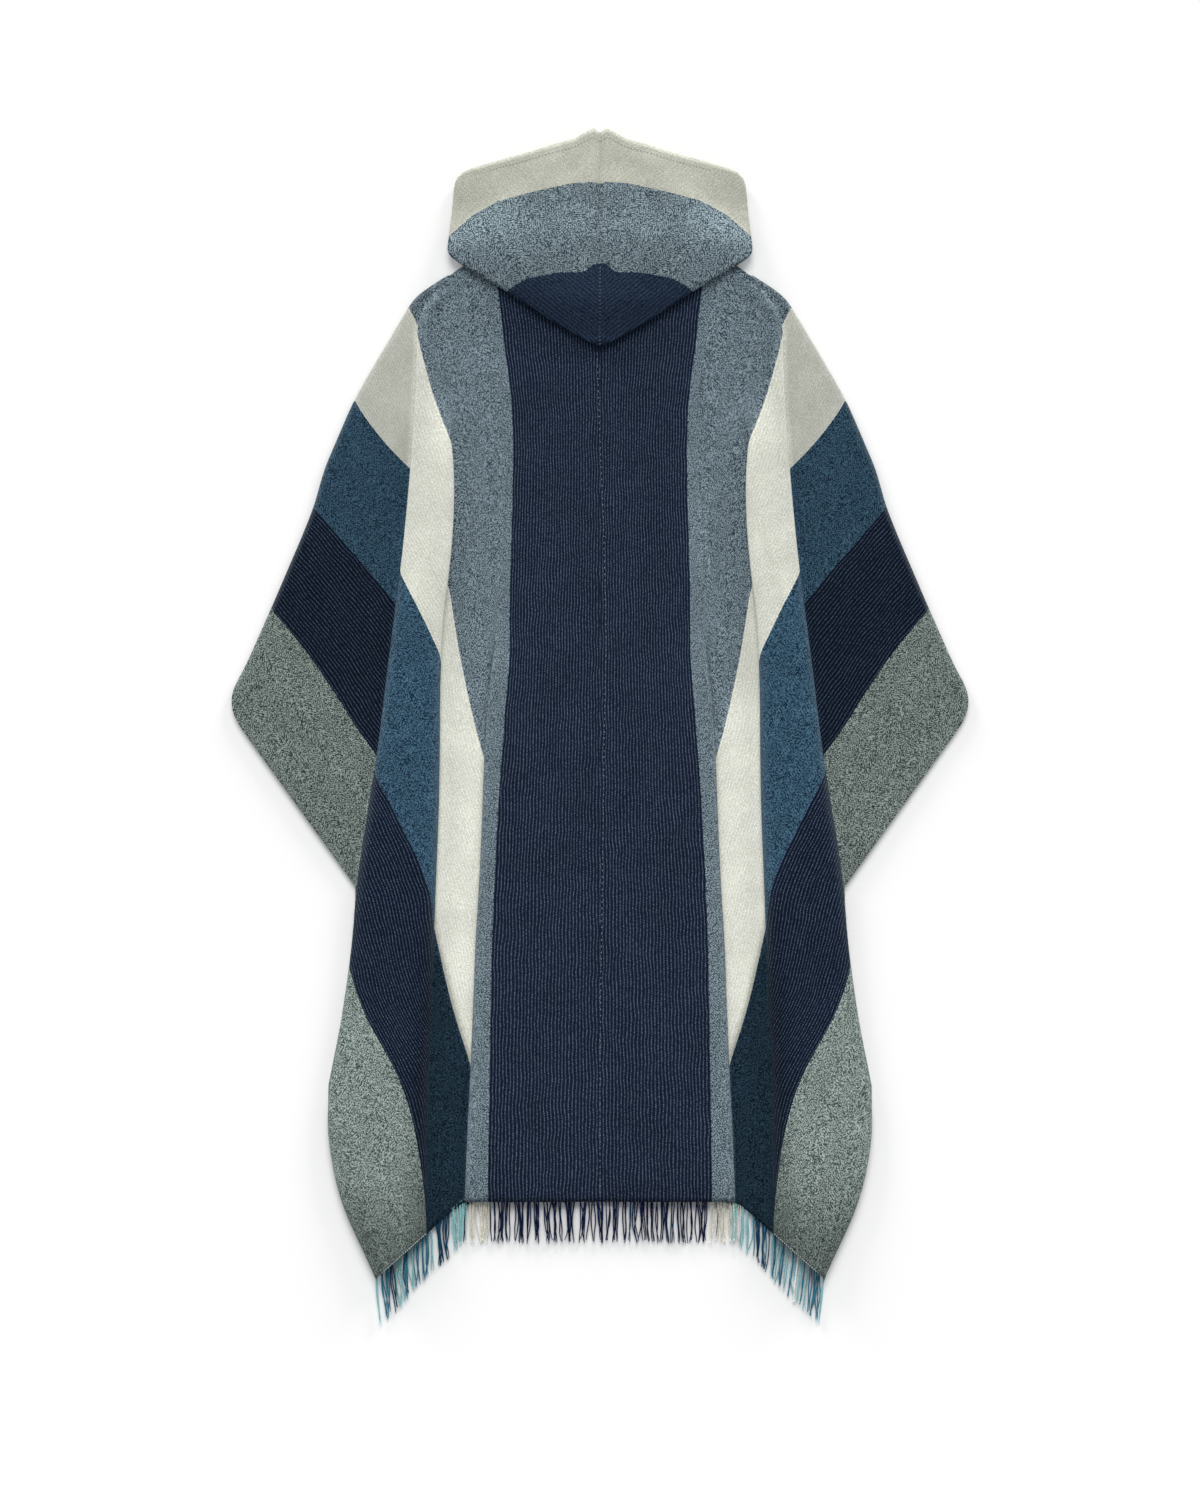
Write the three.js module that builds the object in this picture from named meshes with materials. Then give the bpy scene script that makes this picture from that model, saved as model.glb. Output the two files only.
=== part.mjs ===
import * as THREE from "three";

// A hooded, striped poncho of thick wool cloth, laid out flat with its back up.
// Two loom-width strips run from the back hem over the shoulders to the front hem and
// are sewn along the centre. A hood of two halves is sewn round the neck, and lies
// folded down over the back. All sizes are in millimetres. x runs across from the centre
// seam, y runs up towards the hood and z stands up from the surface that it lies on.
// Heights in the tables are measured along y from the straight part of the back hem.

// ---- driving dimensions ----
const WALL = 2.0; // thickness of the woven cloth
const GAP = 0.3; // clearance between pieces that touch
const LAYER = 2.6; // rise from one layer of a fold to the next
const HALF_SEAM = GAP / 2; // each half stops this far from the centre plane
const HOOD_TOP = 1073; // highest point of the hood's face edge above the hem line
const CORNER_DROP = 78; // how far the hem's outer corners hang below the hem line
const HEM_STRAIGHT = 137; // half width of the straight part of the hem
const HEM_CORNER = 225; // distance of the hem's corners from the centre seam
const SIDE_FRINGE = 47; // reach of the fringe at the corners
const CENTRE_FRINGE = 42; // reach of the fringe below the straight hem
const FRONT_FRINGE = 35; // reach of the hidden fringe below the front hem
const FRONT_RISE = 42; // the front hem lies this much higher than the back hem
const FRINGE_WALL = 1.8; // thickness of the fringe's plain solid
const FRINGE_LEAN = 6; // how far the fringe's ends swing out at the corners

// Heights of the middle of each layer above the surface
const FRONT_MID = WALL / 2;
const WING_MID = FRONT_MID + WALL + GAP;
const BACK_MID = WING_MID + GAP;
const TUCK_MID = BACK_MID + LAYER - GAP;
const OVER_MID = TUCK_MID + LAYER;
const HEM_GAP = 1.5; // from the hem's last row to the fringe's plain solid
const MIDDLE_OF_LENGTH = (HOOD_TOP - CORNER_DROP - HEM_GAP - SIDE_FRINGE) / 2;

// ---- shape tables: a row for each height, distances from the centre seam ----

// The back of one strip. inner: the edge of the fold in the grey stripe, which laps
// outward; valley: the edge of the second fold, which laps inward; side: the edge of the
// deep side fold, or the shoulder above it. Each tuck is the depth of cloth hidden there.
const BACK_FOLDS = [
  { height: -78, inner: 137, innerTuck: 100, valley: 171, valleyTuck: 46, side: 225, sideTuck: 12 },
  { height: -40, inner: 137, innerTuck: 100, valley: 171, valleyTuck: 60, side: 242, sideTuck: 12 },
  { height: 0, inner: 137, innerTuck: 100, valley: 172, valleyTuck: 74, side: 262, sideTuck: 10 },
  { height: 75, inner: 134, innerTuck: 98, valley: 172, valleyTuck: 76, side: 276, sideTuck: 10 },
  { height: 130, inner: 131, innerTuck: 94, valley: 170, valleyTuck: 70, side: 269, sideTuck: 26 },
  { height: 200, inner: 128, innerTuck: 82, valley: 166, valleyTuck: 58, side: 257, sideTuck: 58 },
  { height: 260, inner: 126, innerTuck: 74, valley: 164, valleyTuck: 58, side: 249, sideTuck: 62 },
  { height: 320, inner: 122, innerTuck: 63, valley: 162, valleyTuck: 62, side: 245, sideTuck: 63 },
  { height: 390, inner: 119, innerTuck: 50, valley: 159, valleyTuck: 60, side: 234, sideTuck: 58 },
  { height: 450, inner: 117, innerTuck: 36, valley: 158, valleyTuck: 54, side: 224, sideTuck: 52 },
  { height: 510, inner: 113, innerTuck: 14, valley: 158, valleyTuck: 44, side: 217, sideTuck: 44 },
  { height: 580, inner: 104, innerTuck: 0, valley: 155, valleyTuck: 40, side: 208, sideTuck: 38 },
  { height: 640, inner: 100, innerTuck: 0, valley: 147, valleyTuck: 36, side: 200, sideTuck: 36 },
  { height: 700, inner: 97, innerTuck: 0, valley: 143, valleyTuck: 24, side: 194, sideTuck: 34 },
  { height: 760, inner: 97, innerTuck: 0, valley: 145, valleyTuck: 12, side: 189, sideTuck: 24 },
  { height: 810, inner: 100, innerTuck: 0, valley: 150, valleyTuck: 0, side: 186, sideTuck: 14 },
  { height: 860, inner: 102, innerTuck: 0, valley: 151, valleyTuck: 0, side: 184, sideTuck: 9 },
  { height: 890, inner: 102, innerTuck: 0, valley: 151, valleyTuck: 0, side: 186, sideTuck: 8 },
  { height: 920, inner: 82, innerTuck: 0, valley: 122, valleyTuck: 0, side: 160, sideTuck: 8 },
  { height: 935, inner: 60, innerTuck: 0, valley: 98, valleyTuck: 0, side: 136, sideTuck: 8 },
];

// The outline from the neck along the shoulder to the tip, and back in along the selvage
const WING_OUTLINE = [
  { height: 935, reach: 136 },
  { height: 905, reach: 184 },
  { height: 890, reach: 193 },
  { height: 821, reach: 234 },
  { height: 795, reach: 248 },
  { height: 732, reach: 275 },
  { height: 663, reach: 298 },
  { height: 593, reach: 328 },
  { height: 530, reach: 356 },
  { height: 514, reach: 366 },
  { height: 500, reach: 369 },
  { height: 479, reach: 363 },
  { height: 456, reach: 346 },
  { height: 316, reach: 245 },
  { height: 262, reach: 208 },
];

// The side of the hood laid flat, from the tip of its peak up to the face edge
const HOOD_SIDE = [
  { height: 855, reach: 3 },
  { height: 859, reach: 13 },
  { height: 867, reach: 25 },
  { height: 882, reach: 52 },
  { height: 909, reach: 92 },
  { height: 931, reach: 128 },
  { height: 938, reach: 141 },
  { height: 948, reach: 152 },
  { height: 964, reach: 150 },
  { height: 989, reach: 147 },
  { height: 1024, reach: 143 },
];

// The face edge of the hood, from the centre seam out to its corner
const FACE_EDGE = [
  { reach: 0, height: 1067 },
  { reach: 7, height: 1073 },
  { reach: 26, height: 1061 },
  { reach: 49, height: 1055 },
  { reach: 74, height: 1047 },
  { reach: 108, height: 1038 },
  { reach: 143, height: 1024 },
];

// ---- helpers ----

// Value of one named column of a table at a position along another
function lookUp(table, along, position, column) {
  const rising = table[0][along] < table[table.length - 1][along];
  const rows = rising ? table : [...table].reverse();
  if (position <= rows[0][along]) return rows[0][column];
  for (let i = 1; i < rows.length; i += 1) {
    if (position <= rows[i][along]) {
      const share = (position - rows[i - 1][along]) / (rows[i][along] - rows[i - 1][along]);
      return rows[i - 1][column] + share * (rows[i][column] - rows[i - 1][column]);
    }
  }
  return rows[rows.length - 1][column];
}

function mix(from, to, share) {
  return from + (to - from) * share;
}

function smoothShare(value, start, end) {
  const share = Math.min(1, Math.max(0, (value - start) / (end - start)));
  return share * share * (3 - 2 * share);
}

// How far the hem hangs below the hem line at a distance from the centre seam
function hemDrop(x) {
  const slope = CORNER_DROP / (HEM_CORNER - HEM_STRAIGHT);
  return Math.max(0, Math.min(CORNER_DROP, (x - HEM_STRAIGHT) * slope));
}

// A closed wall of even thickness about a grid of middle points. The rows and columns
// are crossed by a normal from each point's neighbours, and the rim joins both faces.
function clothWall(middle, thickness = WALL) {
  const rows = middle.length;
  const columns = middle[0].length;
  const upper = [];
  const lower = [];
  for (let r = 0; r < rows; r += 1) {
    for (let c = 0; c < columns; c += 1) {
      const across = middle[r][Math.min(c + 1, columns - 1)].clone().sub(middle[r][Math.max(c - 1, 0)]);
      const along = middle[Math.min(r + 1, rows - 1)][c].clone().sub(middle[Math.max(r - 1, 0)][c]);
      const normal = across.cross(along).normalize().multiplyScalar(thickness / 2);
      upper.push(middle[r][c].clone().add(normal));
      lower.push(middle[r][c].clone().sub(normal));
    }
  }
  const points = [...upper, ...lower];
  const offset = upper.length;
  const index = [];
  const at = (r, c) => r * columns + c;
  const quad = (a, b, c, d) => index.push(a, b, c, a, c, d);
  for (let r = 0; r + 1 < rows; r += 1) {
    for (let c = 0; c + 1 < columns; c += 1) {
      quad(at(r, c), at(r, c + 1), at(r + 1, c + 1), at(r + 1, c));
      quad(offset + at(r, c), offset + at(r + 1, c), offset + at(r + 1, c + 1), offset + at(r, c + 1));
    }
  }
  for (let c = 0; c + 1 < columns; c += 1) {
    const last = rows - 1;
    quad(at(0, c), offset + at(0, c), offset + at(0, c + 1), at(0, c + 1));
    quad(at(last, c), at(last, c + 1), offset + at(last, c + 1), offset + at(last, c));
  }
  for (let r = 0; r + 1 < rows; r += 1) {
    const last = columns - 1;
    quad(at(r, 0), at(r + 1, 0), offset + at(r + 1, 0), offset + at(r, 0));
    quad(at(r, last), offset + at(r, last), offset + at(r + 1, last), at(r + 1, last));
  }
  const geometry = new THREE.BufferGeometry().setFromPoints(points);
  geometry.setIndex(index);
  return geometry;
}

// The same body on the other side of the centre plane, with its faces turned back out
function mirrored(geometry) {
  const copy = geometry.clone();
  copy.scale(-1, 1, 1);
  const index = Array.from(copy.getIndex().array);
  for (let i = 0; i < index.length; i += 3) {
    [index[i + 1], index[i + 2]] = [index[i + 2], index[i + 1]];
  }
  copy.setIndex(index);
  return copy;
}

function yOf(height) {
  return height - MIDDLE_OF_LENGTH;
}

// ---- the back of a strip, with its three folds ----

// Fold knots: share of the tuck hidden at each, small steps in mm, and the layer reached.
// A fold that laps outward is walked from the centre: over the top, back under, out again.
const OUTWARD_LAP = [
  { tuck: -1, step: -16, layer: 0 },
  { tuck: -1, step: 4, layer: 2 },
  { tuck: 0, step: -8, layer: 2 },
  { tuck: 0, step: 0, layer: 1.5 },
  { tuck: 0, step: -5, layer: 1 },
  { tuck: -1, step: 2, layer: 1 },
  { tuck: -1, step: 0, layer: 0.5 },
  { tuck: -1, step: 4, layer: 0 },
  { tuck: 0, step: 1, layer: 0 },
];

// A fold that laps inward is the same walk the other way: under, back, and over the top.
const INWARD_LAP = [
  { tuck: 0, step: -3, layer: 0 },
  { tuck: 0, step: 14, layer: 0 },
  { tuck: 1, step: -4, layer: 0 },
  { tuck: 1, step: 0, layer: 0.5 },
  { tuck: 1, step: -2, layer: 1 },
  { tuck: 0, step: 5, layer: 1 },
  { tuck: 0, step: 0, layer: 1.5 },
  { tuck: 0, step: 8, layer: 2 },
  { tuck: 1, step: -2, layer: 2 },
];

const FULL_TUCK = 16; // a tuck this deep stands at its full number of layers
const FLAT_STEP = 4; // spacing of the knots where the fold has run out

function foldKnots(pattern, edge, tuck, floor) {
  const formed = smoothShare(tuck, 0, FULL_TUCK);
  const centre = (pattern.length - 1) / 2;
  return pattern.map(({ tuck: share, step, layer }, i) => ({
    x: mix(edge + (i - centre) * FLAT_STEP, edge + share * tuck + step, formed),
    z: floor(i) + layer * LAYER * formed,
  }));
}

function backSection(height) {
  const inner = lookUp(BACK_FOLDS, "height", height, "inner");
  const innerTuck = lookUp(BACK_FOLDS, "height", height, "innerTuck");
  const valley = lookUp(BACK_FOLDS, "height", height, "valley");
  const valleyTuck = lookUp(BACK_FOLDS, "height", height, "valleyTuck");
  const side = lookUp(BACK_FOLDS, "height", height, "side");
  const sideTuck = lookUp(BACK_FOLDS, "height", height, "sideTuck");
  const underSide = Math.max(side - sideTuck, valley + 10);
  const overTuck = mix(BACK_MID, OVER_MID, smoothShare(valleyTuck, 0, FULL_TUCK));
  const lap = smoothShare(height, 915, 892);
  const overMid = mix(BACK_MID, OVER_MID, lap);
  const tuckMid = mix(BACK_MID, TUCK_MID, lap);
  const inwardFloor = (i) => (i === 0 ? BACK_MID : overTuck);
  const lastFold = foldKnots(INWARD_LAP, valley, valleyTuck, inwardFloor);
  const clear = Math.max(lastFold[lastFold.length - 1].x + 5, underSide - 4);
  return [
    { x: HALF_SEAM, z: BACK_MID },
    ...foldKnots(OUTWARD_LAP, inner, innerTuck, () => BACK_MID),
    ...lastFold,
    { x: mix(side - 16, Math.min(clear, side - 6), lap), z: overMid },
    { x: mix(side - 12, side - 3, lap), z: overMid },
    { x: mix(side - 8, side, lap), z: (overMid + tuckMid) / 2 },
    { x: mix(side - 4, side - 3, lap), z: tuckMid },
    { x: mix(side, underSide, lap), z: tuckMid },
  ];
}

const BACK_ROWS = [
  0, 40, 80, 120, 165, 210, 255, 300, 345, 390, 430, 470, 510, 550, 600, 650, 700, 745, 790, 825, 860,
  890, 915, 935,
];
const HEM_FADE = 180; // the hem's outline is followed by the rows up to this height

// Rows near the hem sink with it, so that the last row lies on the hem's own outline
function sunkHeight(row, xAt) {
  const follow = 1 - smoothShare(row, 0, HEM_FADE);
  let height = row;
  for (let pass = 0; pass < 5; pass += 1) height = row - follow * hemDrop(xAt(height));
  return height;
}

function backGeometry() {
  const rows = BACK_ROWS.map((row) => {
    return backSection(row).map((knot, i) => {
      const height = sunkHeight(row, (at) => backSection(at)[i].x);
      const { x, z } = backSection(height)[i];
      return new THREE.Vector3(x, yOf(height), z);
    });
  });
  return clothWall(rows);
}

// ---- the wing: the back of the strip beyond the side fold ----

const WING_ROWS = [262, 316, 360, 405, 456, 479, 500, 514, 530, 562, 593, 628, 663, 700, 732, 765, 795, 821, 855, 885];
const WING_COLUMNS = 4;

function wingInner(height) {
  const side = lookUp(BACK_FOLDS, "height", height, "side");
  const sideTuck = lookUp(BACK_FOLDS, "height", height, "sideTuck");
  return side - sideTuck;
}

function wingGeometry() {
  const rows = WING_ROWS.map((height) => {
    const inner = wingInner(height);
    const outer = lookUp(WING_OUTLINE, "height", height, "reach");
    return Array.from({ length: WING_COLUMNS + 1 }, (_, c) => {
      return new THREE.Vector3(mix(inner, outer, c / WING_COLUMNS), yOf(height), WING_MID);
    });
  });
  return clothWall(rows);
}

// ---- the front of a strip, flat on the surface ----

const FRONT_ROWS = [0, 60, 120, 180, 240, 316, 386, 456, 479, 500, 514, 530, 593, 663, 732, 795, 821, 890, 905, 932];
const FRONT_INSET = 1.5; // the front stays this far inside the back's outline

function frontReach(height) {
  const wing = height < 316 ? 0 : lookUp(WING_OUTLINE, "height", height, "reach");
  const side = lookUp(BACK_FOLDS, "height", height, "side");
  return Math.max(wing, side) - FRONT_INSET;
}

function frontGeometry() {
  const hemBend = (HEM_STRAIGHT - HALF_SEAM) / (frontReach(FRONT_RISE) - HALF_SEAM);
  const shares = [0, 0.25, hemBend, 0.75, 1];
  const rows = FRONT_ROWS.map((row) => {
    const rise = FRONT_RISE * (1 - smoothShare(row, 0, HEM_FADE));
    return shares.map((share) => {
      const xAt = (height) => mix(HALF_SEAM, frontReach(height), share);
      const height = rise + sunkHeight(row, (at) => xAt(at + rise));
      return new THREE.Vector3(xAt(height), yOf(height), FRONT_MID);
    });
  });
  return clothWall(rows);
}

// ---- the hood: each half is an envelope, open at the face edge ----

const HOOD_SPACE = 3.0; // open space between the hood's two layers
const HOOD_PITCH = WALL + HOOD_SPACE;
const HOOD_REST = BACK_MID + WALL + GAP; // middle of its under layer where it lies on the back
const HOOD_CROWN = 9; // extra rise of the middle of the hood
const HOOD_SHARES = [0, 0.05, 0.18, 0.34, 0.52, 0.75, 0.9]; // columns out to the fold
const HOOD_ROWS = 15;
const FACE_SETBACK = 6; // the under layer ends this far short of the face edge
const FACE_HALF_WIDTH = FACE_EDGE[FACE_EDGE.length - 1].reach;
const FOLD_ROUNDING = 0.35; // how far the side fold bulges, as a share of the pitch
const HOOD_SEAM = HALF_SEAM + 0.05; // the crown tilts the wall at the seam, so it starts further out

function hoodHalfWidth(height) {
  return lookUp(HOOD_SIDE, "height", height, "reach");
}

// The hood rises in the middle and comes down towards its fold edges and its face edge
function hoodLift(x, height) {
  const side = Math.max(1, hoodHalfWidth(height));
  const across = 1 - Math.min(1, x / side) ** 2;
  const along = smoothShare(height, 855, 905) * (1 - 0.75 * smoothShare(height, 960, 1070));
  return HOOD_CROWN * across * along;
}

// Beyond the shoulders the hood comes down towards the surface
function hoodFloor(height) {
  return mix(HOOD_REST, WALL / 2, smoothShare(height, 955, 1000));
}

function hoodGeometry() {
  const rows = [];
  for (let r = 0; r <= HOOD_ROWS; r += 1) {
    const row = [];
    const rise = r / HOOD_ROWS;
    const layer = (share, level, setback) => {
      const top = lookUp(FACE_EDGE, "reach", share * FACE_HALF_WIDTH, "height") - setback;
      const height = mix(HOOD_SIDE[0].height, top, rise ** 0.9);
      const bulge = FOLD_ROUNDING * HOOD_PITCH * share * 4 * level * (1 - level);
      const x = Math.max(HOOD_SEAM, share * hoodHalfWidth(height)) + bulge;
      const z = hoodFloor(height) + hoodLift(x, height) + level * HOOD_PITCH;
      row.push(new THREE.Vector3(x, yOf(height), z));
    };
    HOOD_SHARES.forEach((share) => layer(share, 1, 0));
    layer(0.985, 1, 0);
    layer(1, 0.75, 0);
    layer(1, 0.25, 0);
    layer(0.985, 0, 0);
    [...HOOD_SHARES].reverse().forEach((share) => layer(share, 0, FACE_SETBACK));
    rows.push(row);
  }
  return clothWall(rows);
}

// ---- fringe: a plain solid of its reach below each stretch of the hem that shows ----

function fringeGeometry(from, to, mid, reach, lean, rise = 0) {
  const shares = [0, 0.25, 0.5, 0.75, 1];
  const rows = [1, 0.5, 0].map((down) => {
    return shares.map((share) => {
      const x = mix(from, to, share);
      const outward = smoothShare(x, HEM_STRAIGHT, HEM_CORNER);
      const length = mix(reach, (reach * SIDE_FRINGE) / CENTRE_FRINGE, outward);
      return new THREE.Vector3(x - down * lean * outward, yOf(rise - hemDrop(x)) - HEM_GAP - down * length, mid);
    });
  });
  return clothWall(rows, FRINGE_WALL);
}

// ---- materials ----

function wool(colour) {
  return new THREE.MeshStandardMaterial({ color: colour, roughness: 0.95, metalness: 0 });
}

const NAVY_WOOL = wool(0x232f42);
const GREY_WOOL = wool(0x6b7880);
const HOOD_WOOL = wool(0xb8b9ae);
const FRONT_WOOL = wool(0x3c5a70);
const FRINGE_WOOL = wool(0x2b4660);

// ---- the whole garment ----

const poncho = new THREE.Group();

function addPair(name, geometry, material) {
  const right = new THREE.Mesh(geometry, material);
  right.name = `right_${name}`;
  const left = new THREE.Mesh(mirrored(geometry), material);
  left.name = `left_${name}`;
  poncho.add(right, left);
}

addPair("front", frontGeometry(), FRONT_WOOL);
addPair("wing", wingGeometry(), GREY_WOOL);
addPair("back", backGeometry(), NAVY_WOOL);
addPair("hood", hoodGeometry(), HOOD_WOOL);
addPair("fringe_centre", fringeGeometry(1, 137, BACK_MID, CENTRE_FRINGE, 0), FRINGE_WOOL);
addPair("fringe_valley", fringeGeometry(139, 169, BACK_MID, CENTRE_FRINGE, FRINGE_LEAN), FRINGE_WOOL);
addPair("fringe_side", fringeGeometry(173, 224, BACK_MID, CENTRE_FRINGE, FRINGE_LEAN), FRINGE_WOOL);
addPair("fringe_front_centre", fringeGeometry(1, 136, FRONT_MID, FRONT_FRINGE, 0, FRONT_RISE), FRINGE_WOOL);
addPair(
  "fringe_front_side",
  fringeGeometry(138, 222, FRONT_MID, FRONT_FRINGE, FRINGE_LEAN, FRONT_RISE),
  FRINGE_WOOL,
);

export default poncho;
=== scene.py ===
"""An andean poncho with a hood, laid out flat with its back up, in striped wool cloth.

Each strip is one sheet of cloth that is folded as the CAD solids are. Lengths in the
tables are millimetres: x from the centre seam, heights from the straight back hem. Every
point of cloth knows its place across the strip (mm from the centre selvage) and along the
warp, and the stripes and the weave are worked out from those two numbers.
"""

import math
import random

import bpy
import numpy as np
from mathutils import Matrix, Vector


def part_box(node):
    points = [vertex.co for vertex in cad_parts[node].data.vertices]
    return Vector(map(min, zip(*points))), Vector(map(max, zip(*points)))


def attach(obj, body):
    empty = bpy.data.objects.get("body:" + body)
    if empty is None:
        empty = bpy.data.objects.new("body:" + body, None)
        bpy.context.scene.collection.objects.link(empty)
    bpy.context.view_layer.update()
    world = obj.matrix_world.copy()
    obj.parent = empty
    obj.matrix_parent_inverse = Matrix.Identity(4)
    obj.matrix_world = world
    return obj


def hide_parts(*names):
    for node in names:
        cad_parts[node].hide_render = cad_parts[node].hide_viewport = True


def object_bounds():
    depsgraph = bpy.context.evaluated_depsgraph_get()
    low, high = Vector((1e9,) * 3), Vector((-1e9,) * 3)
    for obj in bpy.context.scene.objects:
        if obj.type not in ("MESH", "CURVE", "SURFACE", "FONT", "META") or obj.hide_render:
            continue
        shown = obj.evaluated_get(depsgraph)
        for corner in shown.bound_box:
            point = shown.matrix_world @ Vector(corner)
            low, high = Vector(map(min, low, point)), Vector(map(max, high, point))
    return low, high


MM = 0.001

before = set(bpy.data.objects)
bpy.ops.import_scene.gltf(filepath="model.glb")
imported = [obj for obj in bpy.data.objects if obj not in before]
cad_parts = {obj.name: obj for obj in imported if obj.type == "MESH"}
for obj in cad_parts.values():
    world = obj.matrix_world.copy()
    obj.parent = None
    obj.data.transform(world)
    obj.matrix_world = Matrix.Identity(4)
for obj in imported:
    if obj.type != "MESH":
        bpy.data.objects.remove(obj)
cad_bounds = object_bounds()

# ---- driving dimensions ----

# The cloth is thinner than the CAD's wall of 2.0, and its folds lie closer than the CAD's
# layers of 2.6, so that the creases stay inside the CAD
CLOTH = 1.6  # thickness of the woven cloth
LAYER = 2.0  # rise from one layer of a fold to the next

# Heights of the middle of each layer above the surface, as in the CAD
FRONT_MID = 1.0
WING_MID = 3.3
BACK_MID = 3.6
TUCK_MID = 5.9
OVER_MID = 8.5

# The outline, as in the CAD
HEM_STRAIGHT = 137  # half width of the straight part of the hem
HEM_CORNER = 225  # distance of the hem's corners from the centre seam
CORNER_DROP = 78  # how far the corners hang below the hem line
HEM_FADE = 180  # the rows up to this height follow the hem's outline
FRONT_RISE = 42  # the front hem lies this much higher than the back hem
FRONT_TOP = 932  # the front's last row, just short of the shoulder fold
FRONT_INSET = 1.5  # the front stays this far inside the back's outline
ARM_LOW = 262  # the arm's first row
ARM_HIGH = 925  # and its last one
ARM_CLEAR = 316  # from this height up the arm reaches past the side fold

# The cut of each sheet
STRIP_WIDTH = 632
BACK_LENGTH = 935  # from the back hem to the shoulder fold

ROW_STEP = 5  # spacing of the rows of the cloth's mesh
COLUMN_STEP = 4  # spacing of its columns
FULL_TUCK = 16  # a tuck this deep stands at its full number of layers
FLAT_STEP = 4  # spacing of a fold's knots where it has run out
HOOD_TOP = 1073  # height of the hood's highest point
MIDDLE_OF_LENGTH = HOOD_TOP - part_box("right_hood")[1][1] / MM  # y = height - this

# The back of one strip by height. inner, valley and side are the edges of its three
# folds, and each tuck is the depth of cloth hidden there. The columns that end in _at
# are places across the strip: at the navy stripe's edge and on both sides of each fold.
BACK_COLUMNS = (
    "height navy_edge inner inner_tuck valley valley_tuck side side_tuck "
    "inner_at inner_out_at valley_in_at valley_top_at side_top_at side_under_at"
).split()
BACK_FOLDS = [
    (-78, 112, 137, 100, 171, 46, 225, 12, 134, 334, 367, 552, 632, 644),
    (-40, 112, 137, 100, 171, 60, 242, 12, 134, 334, 367, 543, 632, 644),
    (0, 112, 137, 100, 172, 74, 262, 10, 133, 332, 367, 534, 632, 642),
    (75, 110.5, 134, 98, 172, 76, 276, 10, 131, 329, 365, 523, 632, 642),
    (130, 109.5, 131, 94, 170, 70, 269, 26, 129, 318, 356, 504, 606, 632),
    (200, 108, 128, 82, 166, 58, 257, 58, 127, 291, 331, 449, 554, 632),
    (260, 106.5, 126, 74, 164, 58, 249, 62, 126, 274, 315, 432, 526, 632),
    (320, 104.5, 122, 63, 162, 62, 245, 63, 125, 252, 295, 424, 503, 630),
    (390, 100.5, 119, 50, 159, 60, 234, 58, 126, 224, 264, 386, 461, 582),
    (450, 97, 117, 36, 158, 54, 224, 52, 129, 201, 241, 354, 419, 533),
    (510, 93.5, 113, 18, 158, 44, 217, 44, 138, 182, 230, 328, 381, 493),
    (580, 91, 104, 5, 155, 40, 208, 38, 131, 148, 215, 295, 346, 446),
    (640, 89, 100, 0, 147, 28, 200, 36, 124, 124, 194, 256, 308, 401),
    (700, 87, 97, 0, 143, 17, 194, 34, 120, 120, 184, 215, 268, 350),
    (760, 86, 97, 0, 145, 12, 189, 24, 121, 121, 181, 200, 239, 285),
    (810, 88.5, 100, 0, 150, 0, 186, 14, 122, 122, 181, 183, 220, 242),
    (860, 96, 102, 0, 151, 0, 184, 9, 116, 116, 170, 171, 206, 209),
    (890, 99.5, 102, 0, 151, 0, 186, 8, 111, 111, 160, 161, 198, 199),
    (920, 101.5, 82, 0, 122, 0, 160, 8, 86, 86, 128, 129, 168, 169),
    (935, 102.5, 60, 0, 98, 0, 136, 8, 62, 62, 102, 103, 142, 143),
]

# The outline of the arm by height, and the place across the strip at that edge
ARM_COLUMNS = "height reach edge_at".split()
ARM_OUTLINE = [
    (262, 208, 632),
    (316, 245, 632),
    (456, 346, 632),
    (479, 363, 632),
    (490, 367.5, 632),
    (500, 369, 632),
    (514, 366, 618),
    (530, 356, 602),
    (593, 328, 534),
    (663, 298, 463),
    (693, 286, 432),
    (732, 275, 391),
    (795, 248, 318),
    (821, 234, 290),
    (890, 193, 204),
    (905, 184, 190),
    (935, 136, 145),
]

FOLD_ROUNDING = 26  # distances over which the corners of the two tables are rounded off
ARM_ROUNDING = 5

# Where each stripe of the warp ends across the strip
STRIPE_ENDS = {
    "centre_navy": 108,
    "grey": 200,
    "cream": 312,
    "teal": 432,
    "side_navy": 534,
    "side_grey": STRIP_WIDTH,
}


# ---- tables and shares ----

def read_table(rows, names, rounding):
    """A table's columns at every millimetre of height. The corners where its rows meet
    are rounded off over the given distance, which shrinks towards the table's ends."""
    rows = np.array(rows, dtype=float)
    heights = np.arange(rows[0, 0], rows[-1, 0] + 1)
    reach = np.minimum(rounding, np.minimum(heights - heights[0], heights[-1] - heights))
    nearby = [heights + shift * reach for shift in np.linspace(-1, 1, 9)]
    columns = {"height": heights}
    for i, name in enumerate(names[1:], 1):
        columns[name] = np.mean([np.interp(place, rows[:, 0], rows[:, i]) for place in nearby], axis=0)
    return columns


BACK = read_table(BACK_FOLDS, BACK_COLUMNS, FOLD_ROUNDING)
ARM = read_table(ARM_OUTLINE, ARM_COLUMNS, ARM_ROUNDING)


def column_at(table, column, height):
    """Value of a named column at a height, or at an array of heights."""
    return np.interp(height, table["height"], table[column])


def smooth_share(value, start, end):
    """0 before start, 1 past end, and an even S-shaped change between them."""
    share = np.clip((value - start) / (end - start), 0, 1)
    return share * share * (3 - 2 * share)


def mix(a, b, share):
    """a where share is 0 and b where it is 1."""
    return a + (b - a) * share


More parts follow.
